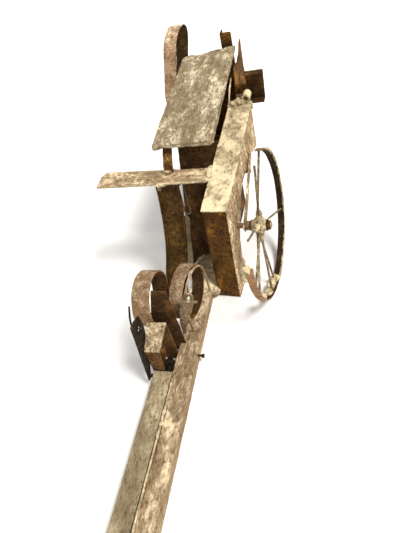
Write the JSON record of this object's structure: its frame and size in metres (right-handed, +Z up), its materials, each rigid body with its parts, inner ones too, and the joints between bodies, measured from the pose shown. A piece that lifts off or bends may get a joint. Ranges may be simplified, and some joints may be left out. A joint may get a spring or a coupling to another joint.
{
  "type": "hand-turned spit roaster",
  "caption": "Old iron spit roaster on a long ground beam, with a lidded fire box, a tall sloping drive casing, a broken spoked wheel and strap hoops that carry the spit.",
  "frame": {"origin": "on the ground, on the underside of the right rail of the beam, about 0.1 m short of the beam's rear end", "axes": "+Z up, +Y along the beam towards the fire box, +X across it towards the wheel"},
  "size_m": [0.6029, 1.7225, 0.6575],
  "materials": {
    "crusted_iron": "old iron under a thick cream and tan crust of lime and dried rust",
    "worn_grey_iron": "rubbed grey-olive iron with cream flecks",
    "dark_rusted_iron": "dark brown rusted iron",
    "orange_rust": "flaking orange-brown rust",
    "blackened_iron": "nearly black scaled iron",
    "oxidised_screw": "pale green-white oxidised bright screw"
  },
  "bodies": {
    "frame": {"axle_brace": "crusted_iron", "axle_collar": "orange_rust", "axle_inner_washer": "dark_rusted_iron", "axle_nut": "dark_rusted_iron", "axle_outer_washer": "dark_rusted_iron", "bowed_leg": "orange_rust", "bracket_arm": "orange_rust", "casing_front_baffle": "orange_rust", "casing_left_wall": "dark_rusted_iron", "casing_right_wall": "crusted_iron", "casing_roof": "crusted_iron", "clamp_nut": "dark_rusted_iron", "clamp_tongue": "crusted_iron", "cross_bar": "crusted_iron", "eye_plate": "blackened_iron", "eye_plate_spacer": "dark_rusted_iron", "fire_box_floor": "dark_rusted_iron", "fire_box_front": "dark_rusted_iron", "fire_box_left": "dark_rusted_iron", "fire_box_rear": "dark_rusted_iron", "fire_box_right": "orange_rust", "fire_grate": "dark_rusted_iron", "frame_hinge_left": "dark_rusted_iron", "frame_hinge_right": "dark_rusted_iron", "grate_ledge": "dark_rusted_iron", "guide_post": "dark_rusted_iron", "hinge_rail": "dark_rusted_iron", "hoop_cleat": "dark_rusted_iron", "hoop_stay": "crusted_iron", "left_spit_hoop": "crusted_iron", "lid_hinge_pin": "dark_rusted_iron", "lid_support": "orange_rust", "link_staple": "dark_rusted_iron", "rail_left": "worn_grey_iron", "rail_peg": "dark_rusted_iron", "rail_right": "crusted_iron", "rear_bracket": "dark_rusted_iron", "rear_hoop_tie": "dark_rusted_iron", "rear_leg": "orange_rust", "rear_spit_hoop": "crusted_iron", "right_spit_hoop": "crusted_iron", "roller_lug": "orange_rust", "roller_pin": "orange_rust", "roller_washer": "orange_rust", "spit_socket": "crusted_iron", "stay_strap": "worn_grey_iron", "stub_axle": "dark_rusted_iron", "tent_bracket": "worn_grey_iron"},
    "wheel": {"wheel_hub": "crusted_iron", "wheel_rim": "orange_rust", "wheel_spokes": "worn_grey_iron"},
    "lid": {"lid_hinge_left": "dark_rusted_iron", "lid_hinge_right": "dark_rusted_iron", "lid_plate": "worn_grey_iron"},
    "link": {"chain_link": "orange_rust"},
    "hook": {"hook": "blackened_iron"},
    "clamp": {"clamp_handle": "oxidised_screw", "clamp_screw": "oxidised_screw"},
    "roller": {"roller": "orange_rust"}
  },
  "joints": [
    {"name": "wheel_spin", "type": "hinge", "parent": "frame", "child": "wheel", "pos_m": [0.221, 0.0444, 0.2388], "axis": [0.9947, -0.0818, 0.0628], "continuous": true},
    {"name": "lid_hinge", "type": "hinge", "parent": "frame", "child": "lid", "pos_m": [0.00184, 0.66197, 0.55394], "axis": [-0.9787, 0.1629, -0.125], "range_deg": [0, 45]},
    {"name": "link_swing", "type": "hinge", "parent": "frame", "child": "link", "pos_m": [-0.032, 0.116, 0.366], "axis": [0, 1, 0], "range_deg": [-25, 25]},
    {"name": "hook_turn", "type": "hinge", "parent": "frame", "child": "hook", "pos_m": [-0.09, -0.346, 0.2], "axis": [1, 0, 0], "range_deg": [-18, 70]},
    {"name": "clamp_turn", "type": "hinge", "parent": "frame", "child": "clamp", "pos_m": [0.043, -0.2405, 0.222], "axis": [0, 1, 0], "continuous": true},
    {"name": "roller_spin", "type": "hinge", "parent": "frame", "child": "roller", "pos_m": [-0.052, -0.345, 0.088], "axis": [1, 0, 0], "continuous": true}
  ]
}
